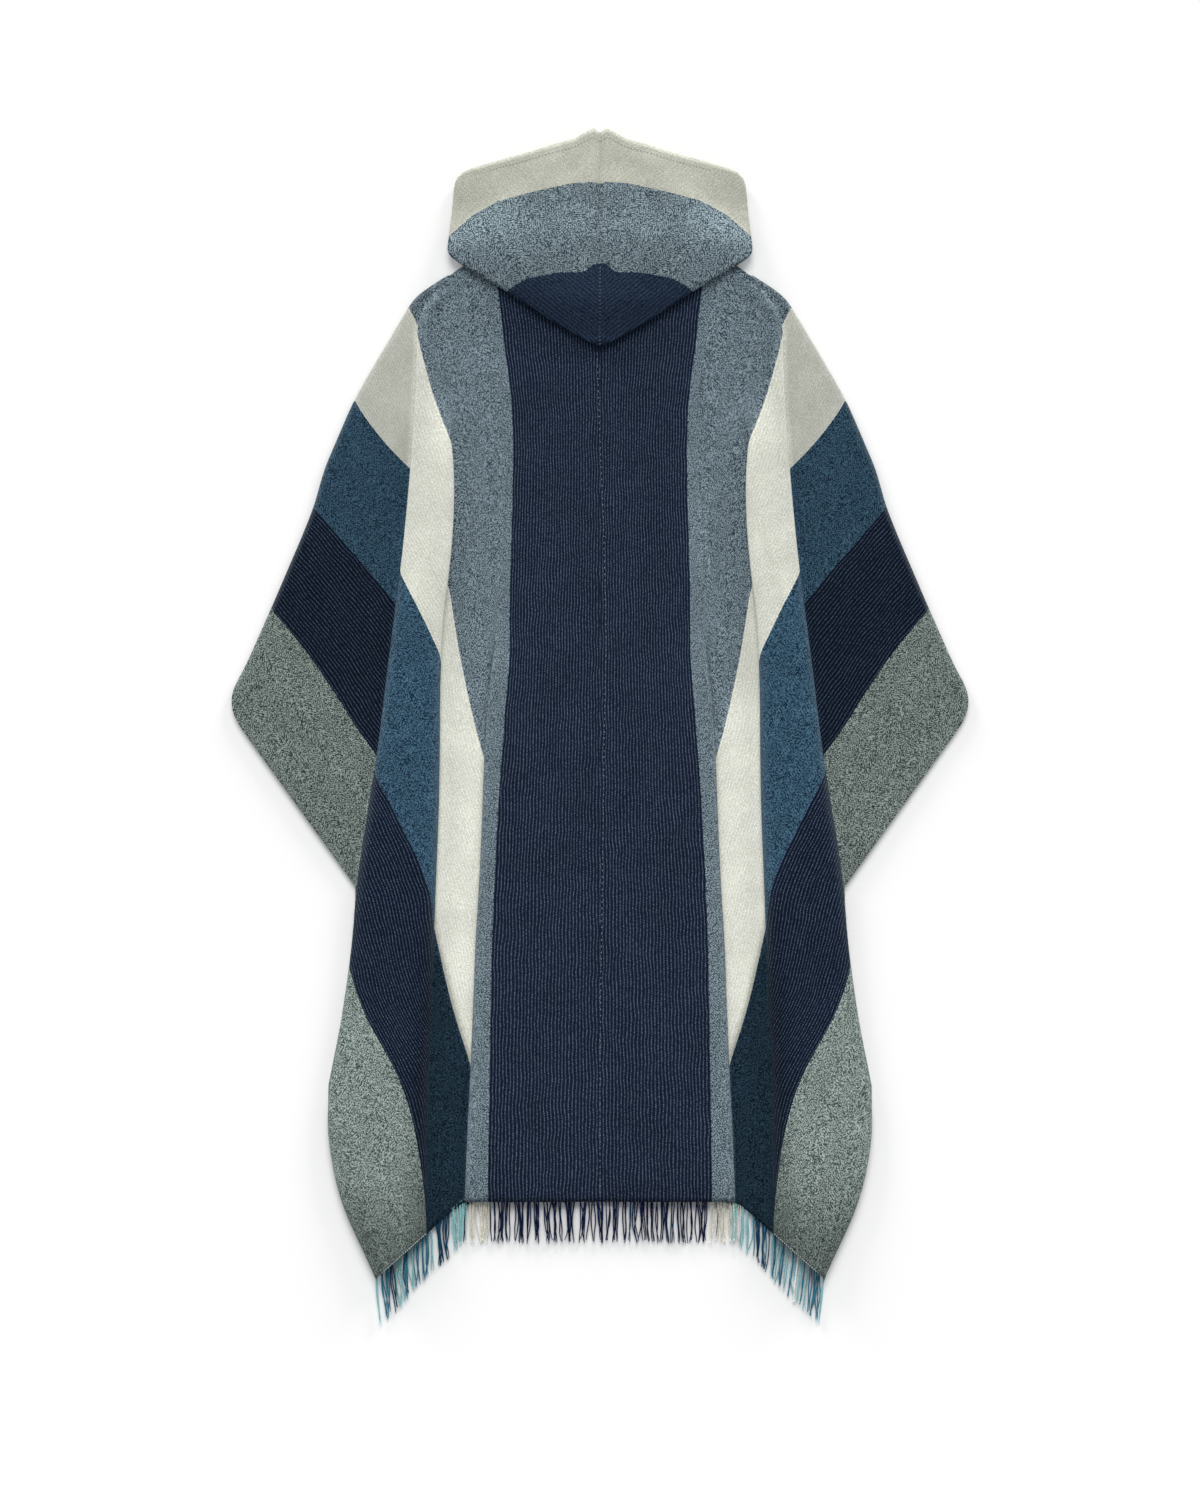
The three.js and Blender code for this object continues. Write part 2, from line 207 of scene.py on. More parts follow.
def hem_drop(x):
    """How far the hem hangs below the hem line at a distance from the centre seam."""
    slope = CORNER_DROP / (HEM_CORNER - HEM_STRAIGHT)
    return max(0.0, min(CORNER_DROP, (x - HEM_STRAIGHT) * slope))


# ---- sections of the strip: knots of (x, z, across, painted highlight) ----

# Knots of a fold: share of the tuck, small step in mm, layer reached, and how much of the
# fold's hidden cloth has been used. The painted highlight is 1 on the fold's edge, where light catches its
# hairs.
OUTWARD_LAP = [
    (-1, -34, 0, 0.0, 0),
    (-1, 4, 2, 0.0, 0),
    (0, -8, 2, 0.0, 0),
    (0, 0, 1.5, 0.0, 1),
    (0, -5, 1, 0.1, 0.5),
    (-1, 2, 1, 0.45, 0),
    (-1, 0, 0.5, 0.5, 0),
    (-1, 4, 0, 0.55, 0),
    (0, 1, 0, 1.0, 0),
]
INWARD_LAP = [
    (0, -3, 0, 0.0, 0),
    (0, 14, 0, 0.15, 0),
    (1, -4, 0, 0.45, 0),
    (1, 0, 0.5, 0.5, 0),
    (1, -2, 1, 0.55, 0),
    (0, 5, 1, 0.9, 0.5),
    (0, 0, 1.5, 1.0, 1),
    (0, 8, 2, 1.0, 0),
    (1, -2, 2, 1.0, 0),
]


def fold_knots(pattern, edge, tuck, floor, at_start, at_end, x_to_at):
    """The knots of one fold at its edge's x. floor(i) gives the height that knot i lies
    at, and x_to_at(x, before) the place across on the flat panel before or past the fold."""
    formed = smooth_share(tuck, 0, FULL_TUCK)
    centre = (len(pattern) - 1) / 2
    knots = []
    for i, (share, step, layer, used, painted_highlight) in enumerate(pattern):
        x = mix(edge + (i - centre) * FLAT_STEP, edge + share * tuck + step, formed)
        z = floor(i) + layer * LAYER * formed
        flat_at = x_to_at(x, x < edge)
        folded_at = x_to_at(x, used == 0.0) if used in (0.0, 1.0) else mix(at_start, at_end, used)
        knots.append((x, z, mix(flat_at, folded_at, formed), painted_highlight * formed))
    return knots


LAP_START = 915  # the side fold starts to lift off the shoulder at this height
LAP_FULL = 892  # and from here down it lies at its full number of layers
SEAM_CLEAR = 1.0  # no knot of a fold comes nearer to the centre seam


def back_section(height):
    """The back of the strip at one height, from the centre seam to the end of the side
    fold's hidden layer."""
    row = {name: column_at(BACK, name, height) for name in BACK_COLUMNS}
    side = row["side"]
    top_at = row["side_top_at"]
    lap = smooth_share(height, LAP_START, LAP_FULL)
    over_mid = mix(BACK_MID, OVER_MID, lap)
    tuck_mid = mix(BACK_MID, TUCK_MID, lap)
    valley_floor = mix(BACK_MID, OVER_MID, smooth_share(row["valley_tuck"], 0, FULL_TUCK))
    under_side = max(side - row["side_tuck"], row["valley"] + 10)

    def panel_at(x, start, end):
        """Place across a panel that lies flat between two (x, place) ends. The edge of
        the navy stripe is a known place too, on whichever panel it lies."""
        known = [start, end]
        if start[0] < row["navy_edge"] < end[0]:
            known.insert(1, (row["navy_edge"], STRIPE_ENDS["centre_navy"]))
        return np.interp(x, *zip(*known))

    def inner_at(x, before):
        if before:
            return panel_at(x, (0, 0), (row["inner"], row["inner_at"]))
        return panel_at(x, (row["inner"], row["inner_out_at"]), (row["valley"], row["valley_in_at"]))

    def valley_at(x, before):
        if before:
            return inner_at(x, False)
        return panel_at(x, (row["valley"], row["valley_top_at"]), (side, top_at))

    inner = fold_knots(OUTWARD_LAP, row["inner"], row["inner_tuck"], lambda i: BACK_MID,
                       row["inner_at"], row["inner_out_at"], inner_at)
    valley = fold_knots(INWARD_LAP, row["valley"], row["valley_tuck"],
                        lambda i: BACK_MID if i == 0 else valley_floor,
                        row["valley_in_at"], row["valley_top_at"], valley_at)
    inner[0] = (max(inner[0][0], SEAM_CLEAR),) + inner[0][1:]
    flat_end = mix(side - 16, max(valley[-1][0] + 2, side - 9), lap)
    flat_end = min(flat_end, side - 4)
    hidden_at = (top_at + row["side_under_at"]) / 2
    edge = [
        (flat_end, over_mid, valley_at(flat_end, False), 0),
        (mix(side - 12, side - 3, lap), over_mid, top_at - 3, 0.5 * lap),
        (mix(side - 8, side, lap), (over_mid + tuck_mid) / 2, top_at, lap),
        (mix(side - 4, side - 3, lap), tuck_mid, top_at + 2, 0),
        (mix(side, under_side, lap), tuck_mid, min(hidden_at, STRIP_WIDTH), 0),
    ]
    return [(0, BACK_MID, 0, 0), *inner, *valley, *edge]


ARM_TIP = 490  # below this height the arm's edge is the selvage
ARM_FOLD = 512  # and above this one the shoulder fold, which turns down and has its painted highlight


def arm_section(height):
    """The arm at one height: on from the side fold's hidden layer, out to its edge."""
    side = column_at(BACK, "side", height)
    tuck = column_at(BACK, "side_tuck", height)
    top_at = column_at(BACK, "side_top_at", height)
    under_at = column_at(BACK, "side_under_at", height)
    reach = column_at(ARM, "reach", height)
    edge_at = column_at(ARM, "edge_at", height)
    side = min(side, reach - 6)
    start = side - tuck
    folded = smooth_share(height, ARM_TIP, ARM_FOLD)
    return [
        (start, WING_MID, min((top_at + under_at) / 2, edge_at), 0),
        (side, WING_MID, min(under_at, edge_at), 0),
        (reach - 5, WING_MID, edge_at - 4 * (under_at < edge_at), 0),
        (reach - 1.5, WING_MID - 0.4 * folded, edge_at, 0.6 * folded),
        (reach, WING_MID - 1.1 * folded, edge_at, folded),
    ]


def front_rise(row):
    """The front hem lies higher than the back hem, so the back hides it."""
    return FRONT_RISE * (1 - smooth_share(row, 0, HEM_FADE))


def front_section(height):
    """The hidden front at one height, flat on the surface."""
    reach = column_at(ARM, "reach", height) if height >= ARM_CLEAR else 0
    side = column_at(BACK, "side", height)
    edge = max(reach, side) - FRONT_INSET
    return [(0, FRONT_MID, 0, 0), (edge, FRONT_MID, STRIP_WIDTH, 0)]


# ---- grids of cloth: arrays of rows x columns x (x, height, z, and the COORDINATES) ----

# What each point of cloth knows: its place across the stripes, its place across the ribs
# of the weave and along them, its painted highlight on a fold's edge, and its tone with painted shading
COORDINATES = ("across", "rib", "along", "painted_highlight", "tone_and_painted_shading")
X, HEIGHT, Z, ACROSS, _, ALONG, HIGHLIGHT_SHARE, TONE_AND_PAINTED_SHADING = range(8)


def sunk(row, x_at):
    """Rows near the hem sink with it, so that the last one lies on the hem's outline."""
    follow = 1 - smooth_share(row, 0, HEM_FADE)
    height = row
    for _ in range(5):
        height = row - follow * hem_drop(x_at(height))
    return height


def cloth_rows(section, low, high, step):
    """A section's knots at every step of height, with the COORDINATES of each."""
    rows = []
    for row in np.linspace(low, high, round((high - low) / step) + 1):
        knots = []
        for i in range(len(section(row))):
            height = sunk(row, lambda at: section(at)[i][0]) if row < HEM_FADE else row
            x, z, across, painted_highlight = section(height)[i]
            knots.append((x, height, z, across, across, height, painted_highlight, 1))
        rows.append(knots)
    return np.array(rows, dtype=float)


def with_columns(rows, step):
    """Splits the space between neighbouring knots evenly, the same way in every row."""
    lengths = np.linalg.norm(np.diff(rows[:, :, :3], axis=1), axis=2).max(axis=0)
    parts = []
    for i, length in enumerate(lengths):
        count = max(1, math.ceil(length / step))
        shares = (np.arange(count) / count)[None, :, None]
        parts.append(mix(rows[:, i, None], rows[:, i + 1, None], shares))
    return np.concatenate(parts + [rows[:, -1:]], axis=1)


def softened(grid, passes, axis):
    """Rounds the bends of a grid along one axis, and keeps its two ends."""
    grid = np.swapaxes(grid, 0, axis).copy()
    for _ in range(passes):
        grid[1:-1] = 0.25 * grid[:-2] + 0.5 * grid[1:-1] + 0.25 * grid[2:]
    return np.swapaxes(grid, 0, axis)


# ---- soft creases: a ridge (or trough) along a line ----

# Each crease: x and height of its start, x and height of its end, its width and its lift
CREASES = {
    "right": [
        (98, 660, 121, 480, 11, 3.2),
        (182, 890, 190, 740, 9, 1.6),
        (118, 640, 136, 505, 9, -1.0),
        (160, 660, 168, 560, 10, 1.2),
        (262, 560, 305, 640, 22, 1.0),
        (300, 470, 330, 520, 16, 0.8),
        (60, 700, 70, 420, 26, 0.7),
        (26, 300, 34, 60, 22, 0.8),
        (84, 260, 90, 40, 20, 0.7),
        (215, 330, 236, 120, 16, 1.0),
        (196, 90, 214, -30, 12, 1.0),
    ],
    "left": [
        (99, 655, 120, 490, 12, 3.0),
        (180, 885, 189, 745, 9, 1.7),
        (119, 640, 135, 515, 9, -0.9),
        (158, 655, 170, 565, 11, 1.1),
        (250, 570, 300, 650, 24, 0.9),
        (296, 480, 334, 530, 15, 0.9),
        (52, 660, 66, 380, 24, 0.8),
        (30, 340, 24, 80, 24, 0.7),
        (88, 230, 84, 30, 18, 0.8),
        (210, 300, 232, 140, 15, 0.9),
        (190, 80, 210, -20, 13, 1.1),
    ],
}


def crease_lift(x, height, side, creases):
    """How far one side's creases lift the cloth."""
    lift = np.zeros_like(x)
    for x0, h0, x1, h1, width, rise in creases[side]:
        length = math.hypot(x1 - x0, h1 - h0)
        along = ((x - x0) * (x1 - x0) + (height - h0) * (h1 - h0)) / length ** 2
        gap = np.abs((x - x0) * (h1 - h0) - (height - h0) * (x1 - x0)) / length
        ends = smooth_share(along, -0.25, 0.3) * smooth_share(along, 1.25, 0.7)
        lift += rise * ends * np.exp(-((gap / width) ** 2))
    return lift


def unevenness(x, height, side):
    """The slow, uneven rise and fall that wool cloth keeps when it is laid down."""
    turn = 0.0 if side == "right" else 1.7
    slow = np.sin(x / 47 + height / 130 + turn) * np.sin(height / 83 - x / 90 + 2 * turn)
    quick = np.sin(x / 19 + 1.3 * np.sin(height / 61) + turn) * np.sin(height / 37 + turn)
    return 0.6 + 0.45 * slow + 0.15 * quick


# ---- mesh helpers ----

LOT_SHIFT = 4321  # mm along the warp between the lengths that the two sides are cut from
MERGE_DISTANCE = 0.05  # mm


def make_piece(name, points, faces, mirror, attributes, material, smooth=True):
    """One object from points of (x, height, z). A mirror of -1 puts it on the left, with
    its faces turned the right way out. attributes are numbers or colours, one a point."""
    mesh = bpy.data.meshes.new(name)
    places = [(mirror * x * MM, (height - MIDDLE_OF_LENGTH) * MM, z * MM) for x, height, z in points]
    mesh.from_pydata(places, [], [face if mirror > 0 else face[::-1] for face in faces])
    for label, values in attributes.items():
        values = np.ascontiguousarray(values, dtype=np.float32)
        if values.ndim == 2:
            mesh.attributes.new(label, "FLOAT_COLOR", "POINT").data.foreach_set("color", values.ravel())
        else:
            mesh.attributes.new(label, "FLOAT", "POINT").data.foreach_set("value", values)
    mesh.polygons.foreach_set("use_smooth", [smooth] * len(mesh.polygons))
    mesh.materials.append(material)
    piece = bpy.data.objects.new(name, mesh)
    bpy.context.collection.objects.link(piece)
    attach(piece, "root")
    return piece


def make_cloth(name, grids, mirror, material):
    """One sheet of cloth from several grids, with the cloth's own coordinates kept as
    attributes. The grids' shared edges are merged, and the sheet is given its thickness."""
    points, faces, cloth = [], [], []
    for grid in grids:
        start = len(points)
        rows, columns = grid.shape[:2]
        flat = grid.reshape(-1, 3 + len(COORDINATES))
        points.extend(flat[:, :3])
        known = flat[:, 3:].copy()
        known[:, COORDINATES.index("along")] += LOT_SHIFT * (mirror < 0)
        cloth.append(known)
        for row in range(rows - 1):
            for column in range(columns - 1):
                a = start + row * columns + column
                faces.append((a, a + 1, a + columns + 1, a + columns))
    attributes = dict(zip(COORDINATES, np.concatenate(cloth).T))
    piece = make_piece(name, points, faces, mirror, attributes, material)
    weld = piece.modifiers.new("weld", "WELD")
    weld.merge_threshold = MERGE_DISTANCE * MM
    shell = piece.modifiers.new("thickness", "SOLIDIFY")
    shell.thickness = CLOTH * MM
    shell.offset = 0
    shell.use_even_offset = False
    return piece


# ---- materials ----

def to_linear(channel):
    """A screen colour's channel, 0 to 255, as the linear share that shaders take."""
    channel /= 255
    return channel / 12.92 if channel <= 0.04045 else ((channel + 0.055) / 1.055) ** 2.4


def wool_colour(red, green, blue):
    """A colour given as it looks on a screen."""
    return (to_linear(red), to_linear(green), to_linear(blue), 1.0)


class Shader:
    """Small helpers that keep a node tree readable: each call adds a node and returns its
    output socket."""

    def __init__(self, name):
        self.material = bpy.data.materials.new(name)
        self.material.use_nodes = True
        self.tree = self.material.node_tree
        self.surface = self.tree.nodes["Principled BSDF"]

    def join(self, value, socket):
        if isinstance(value, bpy.types.NodeSocket):
            self.tree.links.new(value, socket)
        else:
            socket.default_value = value

    def attribute(self, name, output="Fac"):
        node = self.tree.nodes.new("ShaderNodeAttribute")
        node.attribute_name = name
        return node.outputs[output]

    def math(self, operation, a, b=0.0, c=0.0):
        node = self.tree.nodes.new("ShaderNodeMath")
        node.operation = operation
        self.join(a, node.inputs[0])
        self.join(b, node.inputs[1])
        self.join(c, node.inputs[2])
        return node.outputs[0]

    def vector(self, x, y, z=0.0):
        node = self.tree.nodes.new("ShaderNodeCombineXYZ")
        self.join(x, node.inputs[0])
        self.join(y, node.inputs[1])
        self.join(z, node.inputs[2])
        return node.outputs[0]

    def noise(self, vector, scale, detail=2.0):
        node = self.tree.nodes.new("ShaderNodeTexNoise")
        self.join(vector, node.inputs["Vector"])
        node.inputs["Scale"].default_value = scale
        node.inputs["Detail"].default_value = detail
        return node.outputs["Fac"]

    def spread(self, value, low, high, to_low=0.0, to_high=1.0):
        node = self.tree.nodes.new("ShaderNodeMapRange")
        node.interpolation_type = "SMOOTHSTEP"
        for socket, number in zip(("Value", "From Min", "From Max", "To Min", "To Max"),
                                  (value, low, high, to_low, to_high)):
            self.join(number, node.inputs[socket])
        return node.outputs[0]

    def blend(self, share, a, b, kind="MIX"):
        node = self.tree.nodes.new("ShaderNodeMix")
        node.data_type = "RGBA"
        node.blend_type = kind
        self.join(share, node.inputs["Factor"])
        self.join(a, node.inputs["A"])
        self.join(b, node.inputs["B"])
        return node.outputs["Result"]

    def stripes(self, place, ends_and_colours, width):
        """Hard-edged bands of colour along a place that runs from 0 to width."""
        node = self.tree.nodes.new("ShaderNodeValToRGB")
        node.color_ramp.interpolation = "CONSTANT"
        steps = node.color_ramp.elements
        start = 0.0
        for i, (end, colour) in enumerate(ends_and_colours):
            step = steps[i] if i < 2 else steps.new(start)  # a new ramp has two already
            step.position = start
            step.color = colour
            start = end / width
        self.join(self.math("DIVIDE", place, width), node.inputs["Fac"])
        return node.outputs["Color"]

    def bump(self, height, distance, strength=1.0):
        node = self.tree.nodes.new("ShaderNodeBump")
        self.join(height, node.inputs["Height"])
        node.inputs["Distance"].default_value = distance
        node.inputs["Strength"].default_value = strength
        self.tree.links.new(node.outputs["Normal"], self.surface.inputs["Normal"])


RIB_PITCH = 3.4  # mm from one warp rib of the navy cloth to the next
RIB_STAGGER = 2.4  # radians that the dots of one rib lie behind those of the one before
DOT_PITCH = 2.3  # mm between the light dots on a rib
TWILL_PITCH = 2.9  # mm between the twill lines of the grey cloth
HERRINGBONE = 11  # mm after which the twill lines turn back
PANEL_SHIFT = 3.7  # how far apart the noise of two herringbone panels lies, so that neither repeats
STRIPE_FUZZ = 2.4  # mm that the yarns wander over the edge between two stripes
RIB_WANDER = 5.0  # mm that a rib wanders sideways
WEAVE_RELIEF = 0.3  # mm that the raised yarn stands up
PAINTED_HIGHLIGHT = (0.30, 0.35, 0.37, 1)  # painted highlight: the light caught by the loose hairs on a fold's edge
TURN = 2 * math.pi


def rib_dots(shader, rib_place, along, drift):
    """Ribs along the warp, with a light dot where the weft comes up between two yarns."""
    wandering = shader.math("ADD", rib_place, drift)
    rib = shader.math("COSINE", shader.math("MULTIPLY", wandering, TURN / RIB_PITCH))
    rib_number = shader.math("FLOOR", shader.math("DIVIDE", wandering, RIB_PITCH))
    stagger = shader.math("MULTIPLY", rib_number, RIB_STAGGER)
    dot = shader.math("COSINE", shader.math("MULTIPLY_ADD", along, TURN / DOT_PITCH, stagger))
    speck = shader.spread(shader.noise(shader.vector(rib_place, along), 0.5, 1.0), 0.38, 0.66, 0.25, 1.0)
    on_rib = shader.spread(rib, 0.2, 1.0)
    on_dot = shader.spread(dot, -0.7, 0.7, 0.15, 1.0)
    return shader.math("MULTIPLY", shader.math("MULTIPLY", on_rib, on_dot), speck)


def twill_flecks(shader, rib_place, along, drift):
    """Twill lines that climb to the side by one yarn a pick, and break up where yarns vary."""
    yarn_place = shader.vector(rib_place, along)
    zigzag = shader.math("PINGPONG", rib_place, HERRINGBONE)
    climb = shader.math("ADD", shader.math("ADD", zigzag, along), drift)
    line = shader.math("COSINE", shader.math("MULTIPLY", climb, TURN / TWILL_PITCH))
    panel = shader.math("FLOOR", shader.math("DIVIDE", rib_place, HERRINGBONE))
    streak_across = shader.math("MULTIPLY", climb, 0.8)
    streak_along = shader.math("MULTIPLY", shader.math("SUBTRACT", zigzag, along), 0.36)
    streak_place = shader.vector(streak_across, streak_along, shader.math("MULTIPLY", panel, PANEL_SHIFT))
    streak = shader.spread(shader.noise(streak_place, 1.0, 1.0), 0.34, 0.66, -0.95, 0.95)
    fleck = shader.spread(shader.noise(yarn_place, 1.15, 0.0), 0.3, 0.7, -0.7, 0.7)
    patch = shader.spread(shader.noise(yarn_place, 0.12, 2.0), 0.3, 0.7, -0.14, 0.14)
    flecks = shader.math("ADD", shader.math("MULTIPLY_ADD", line, 0.28, patch), streak)
    return shader.spread(shader.math("ADD", flecks, fleck), -0.9, 1.25)


def heather_and_painted_light(shader, colour, rib_place, along):
    """Slow heather over a colour, darkened or lightened by the cloth's painted shading, and a painted
    highlight with hairy noise on the folds' edges.
    """
    yarn_place = shader.vector(rib_place, along)
    heather = shader.spread(shader.noise(yarn_place, 0.022, 3.0), 0.25, 0.75, 0.93, 1.07)
    # the cloth's painted shading darkens or lightens the heather
    tone = shader.math("MULTIPLY", heather, shader.attribute("tone_and_painted_shading"))
    colour = shader.blend(1.0, colour, shader.vector(tone, tone, tone), "MULTIPLY")
    hair = shader.noise(shader.vector(rib_place, shader.math("MULTIPLY", along, 0.5)), 1.4, 3.0)
    # painted highlight: a lighter colour mixed in along the folds' edges
    highlight = shader.math("MULTIPLY", shader.attribute("painted_highlight"), shader.spread(hair, 0.25, 0.75, 0.06, 0.26))
    return shader.blend(highlight, colour, PAINTED_HIGHLIGHT)


def woven_look(shader, dark, light, ends, width, ribs, twill):
    """Colours the cloth by its stripes and weaves them. dark and light are the colours of
    the two yarns of each stripe, ribs how far the light one comes up as dots on ribs along
    the warp, and twill how far it comes up as flecks on twill lines."""
    across = shader.attribute("across")
    rib_place = shader.attribute("rib")
    along = shader.attribute("along")
    yarn_place = shader.vector(rib_place, along)
    drift = shader.math("MULTIPLY_ADD", shader.noise(yarn_place, 0.035, 1.0), RIB_WANDER, -RIB_WANDER / 2)
    fuzz = shader.noise(yarn_place, 0.9, 2.0)
    place = shader.math("ADD", across, shader.math("MULTIPLY_ADD", fuzz, STRIPE_FUZZ, -STRIPE_FUZZ / 2))

    def by_stripe(values):
        return shader.stripes(place, list(zip(ends, values)), width)

    dots = rib_dots(shader, rib_place, along, drift)
    flecks = twill_flecks(shader, rib_place, along, drift)
    raised = shader.math("ADD", shader.math("MULTIPLY", dots, by_stripe([(v, v, v, 1) for v in ribs])),
                         shader.math("MULTIPLY", flecks, by_stripe([(v, v, v, 1) for v in twill])))
    raised = shader.math("MINIMUM", raised, 1.0)
    colour = shader.blend(raised, by_stripe(dark), by_stripe(light))
    shader.join(heather_and_painted_light(shader, colour, rib_place, along), shader.surface.inputs["Base Color"])
    relief = shader.math("ADD", raised, shader.math("MULTIPLY", fuzz, 0.6))
    shader.bump(relief, WEAVE_RELIEF * MM, 0.4)
    wool_finish(shader)


def wool_finish(shader):
    """The matt surface of wool, with a trace of sheen from its hairs."""
    shader.surface.inputs["Roughness"].default_value = 0.92
    shader.surface.inputs["Specular IOR Level"].default_value = 0.04
    shader.surface.inputs["Sheen Weight"].default_value = 0.01
    shader.surface.inputs["Sheen Roughness"].default_value = 0.6
    shader.surface.inputs["Sheen Tint"].default_value = (0.8, 0.85, 0.9, 1)


# The two yarns of each stripe, in the order of STRIPE_ENDS
DARK_YARNS = [
    wool_colour(7, 18, 38), wool_colour(28, 46, 57), wool_colour(187, 189, 176),
    wool_colour(6, 28, 46), wool_colour(3, 14, 33), wool_colour(35, 53, 52),
]
LIGHT_YARNS = [
    wool_colour(114, 131, 152), wool_colour(151, 167, 176), wool_colour(255, 255, 250),
    wool_colour(88, 125, 149), wool_colour(108, 125, 147), wool_colour(180, 193, 187),
]


def striped_wool():
    shader = Shader("striped_wool")
    woven_look(shader, DARK_YARNS, LIGHT_YARNS, list(STRIPE_ENDS.values()), STRIP_WIDTH,
               ribs=[0.8, 0.05, 0.5, 0.15, 0.75, 0.05],
               twill=[0.05, 0.9, 0.4, 0.72, 0.04, 0.9])
    return shader.material


# The hood's place across: its low peak, and where its stripes end on the way to the face
HOOD_PEAK = 20
HOOD_NAVY_END = 100
HOOD_GREY_END = 200
HOOD_CREAM_END = 300


def hood_wool():
    shader = Shader("hood_wool")
    # the hood's cream yarns are darker copies of the strip's cream, as painted shade; its navy and grey are
    # its own
    dark = [wool_colour(14, 28, 49), wool_colour(34, 52, 62), wool_colour(160, 162, 151)]
    light = [wool_colour(108, 127, 150), wool_colour(158, 174, 181), wool_colour(219, 219, 207)]
    woven_look(shader, dark, light, [HOOD_NAVY_END, HOOD_GREY_END, HOOD_CREAM_END], HOOD_CREAM_END,
               ribs=[0.34, 0.05, 0.35], twill=[0.16, 0.9, 0.45])
    return shader.material


def yarn():
    shader = Shader("fringe_yarn")
    twist = shader.noise(shader.vector(shader.attribute("across"), shader.attribute("along")), 0.7, 2.0)
    shade = shader.spread(twist, 0.3, 0.7, 0.75, 1.2)
    tint = shader.attribute("tint", "Color")
    colour = shader.blend(1.0, tint, shader.vector(shade, shade, shade), "MULTIPLY")
    shader.join(colour, shader.surface.inputs["Base Color"])
    wool_finish(shader)
    return shader.material


# ---- the two strips ----

# Painted shade: how much darker the cloth is made in each place, as a share of its brightness
VALLEY_SHADE = 0.66
VALLEY_SIDE_SHADE = 0.38
ARM_SHADE = 0.29
CORNER_SHADE = 0.42
CREAM_LIGHT = 0.2  # painted light: how much brighter the open cream is made
STRIPE_BLUR = 4  # mm over which the painted shading changes at the cream stripe's edge
ARM_LEAN = (0.62, 0.785)  # shares of x and height in the place along the arm's warp
SEAM_LIFT = 0.6  # rise of the cloth at the centre seam, where it lies even


def painted_shading(grid):
    """Painted shading: cloth in the valley and next to it, on the arm and at the corners of
    the hem is darkened as painted shade, and the open cream is lightened as painted light."""
    x, height, across = grid[:, :, X], grid[:, :, HEIGHT], grid[:, :, ACROSS]
    valley = column_at(BACK, "valley", height)
    side = column_at(BACK, "side", height)
    between = (x < valley) * (x > column_at(BACK, "inner", height))
    cream_end = STRIPE_ENDS["cream"]
    past_cream = smooth_share(across, cream_end - STRIPE_BLUR, cream_end + STRIPE_BLUR)
    in_valley = past_cream * smooth_share(height, 300, 240) * between
    open_cream = smooth_share(height, 560, 470) * between * (across < cream_end - STRIPE_BLUR)
    beside_valley = smooth_share(x, valley + 30, valley) * smooth_share(height, 360, 200) * (x > valley)
    on_arm = smooth_share(x, side - 2, side + 4) * smooth_share(height, 250, 300)
    at_corner = smooth_share(height, 40, -50) * (1 - 0.6 * in_valley)
    # painted shade in and beside the valley, on the arm and at the corners, painted light on the open cream
    shaded = (1 - VALLEY_SHADE * in_valley) * (1 - ARM_SHADE * on_arm) * (1 - CORNER_SHADE * at_corner)
    return shaded * (1 - VALLEY_SIDE_SHADE * beside_valley) * (1 + CREAM_LIGHT * open_cream)


def lay_back_and_arm():
    """The two grids of a strip, before the cloth's unevenness."""
    back = with_columns(cloth_rows(back_section, 0, BACK_LENGTH, ROW_STEP), COLUMN_STEP)
    back = softened(softened(back, 3, 1), 4, 0)
    arm = with_columns(cloth_rows(arm_section, ARM_LOW, ARM_HIGH, ROW_STEP), COLUMN_STEP)
    arm = softened(arm, 3, 0)
    # on the arm the stripes lean out, so the warp is measured along their lean
    arm[:, :, ALONG] = ARM_LEAN[0] * arm[:, :, X] + ARM_LEAN[1] * arm[:, :, HEIGHT]
    return back, arm


def lay_strip(side, mirror, material):
    back, arm = lay_back_and_arm()
    for grid in (back, arm):
        x, height = grid[:, :, X], grid[:, :, HEIGHT]
        uneven = unevenness(x, height, side) + crease_lift(x, height, side, CREASES)
        grid[:, :, Z] += mix(SEAM_LIFT, np.maximum(0, uneven), smooth_share(x, 0, 30))
        # painted shading: darker in and beside the valley, on the arm and at the corners, lighter on the
        # open cream
        grid[:, :, TONE_AND_PAINTED_SHADING] = painted_shading(grid)
        # the painted highlight on the edges of the two outer folds is weaker near the hem
        outer_fold = x > column_at(BACK, "inner", height) + 10
        grid[:, :, HIGHLIGHT_SHARE] *= 1 - 0.8 * smooth_share(height, 360, 200) * outer_fold
    strip = make_cloth(f"{side}_strip", [back, arm], mirror, material)
    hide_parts(f"{side}_back", f"{side}_wing")
    return strip, back


def lay_front(side, mirror, material):
    """The hidden front: a plain flat layer, so its mesh is coarser."""
    grid = with_columns(cloth_rows(front_section, 0, FRONT_TOP, 4 * ROW_STEP), 5 * COLUMN_STEP)
    grid[:, :, HEIGHT] += front_rise(grid[:, :, HEIGHT].clip(0))
    front = make_cloth(f"{side}_front_cloth", [grid], mirror, material)
    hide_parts(f"{side}_front")
    return front


# ---- the hood ----

# Outline of a hood half up its side fold, as (height, x)
HOOD_SIDE = [
    (855, 3), (859, 13), (867, 25), (882, 52), (909, 92), (931, 128), (938, 141), (944, 149),
    (949, 152), (964, 150), (989, 147), (1014, 145), (1020, 143.5), (1024, 141),
]

# The face edge, and where the navy and the grey end, as (x, height)
FACE_EDGE = [
    (0, 1067), (7, 1072), (26, 1061), (49, 1055), (74, 1047), (108, 1038),
    (133, 1030.5), (139, 1028), (143, 1023),
]
NAVY_LINE = [(0, 935), (7, 934), (15, 926), (40, 926), (74, 920), (92, 909), (150, 868)]
GREY_LINE = [
    (0, 1016), (4, 1018), (29, 1017), (69, 1008), (102, 999), (127, 985), (150, 964), (153, 955),
]

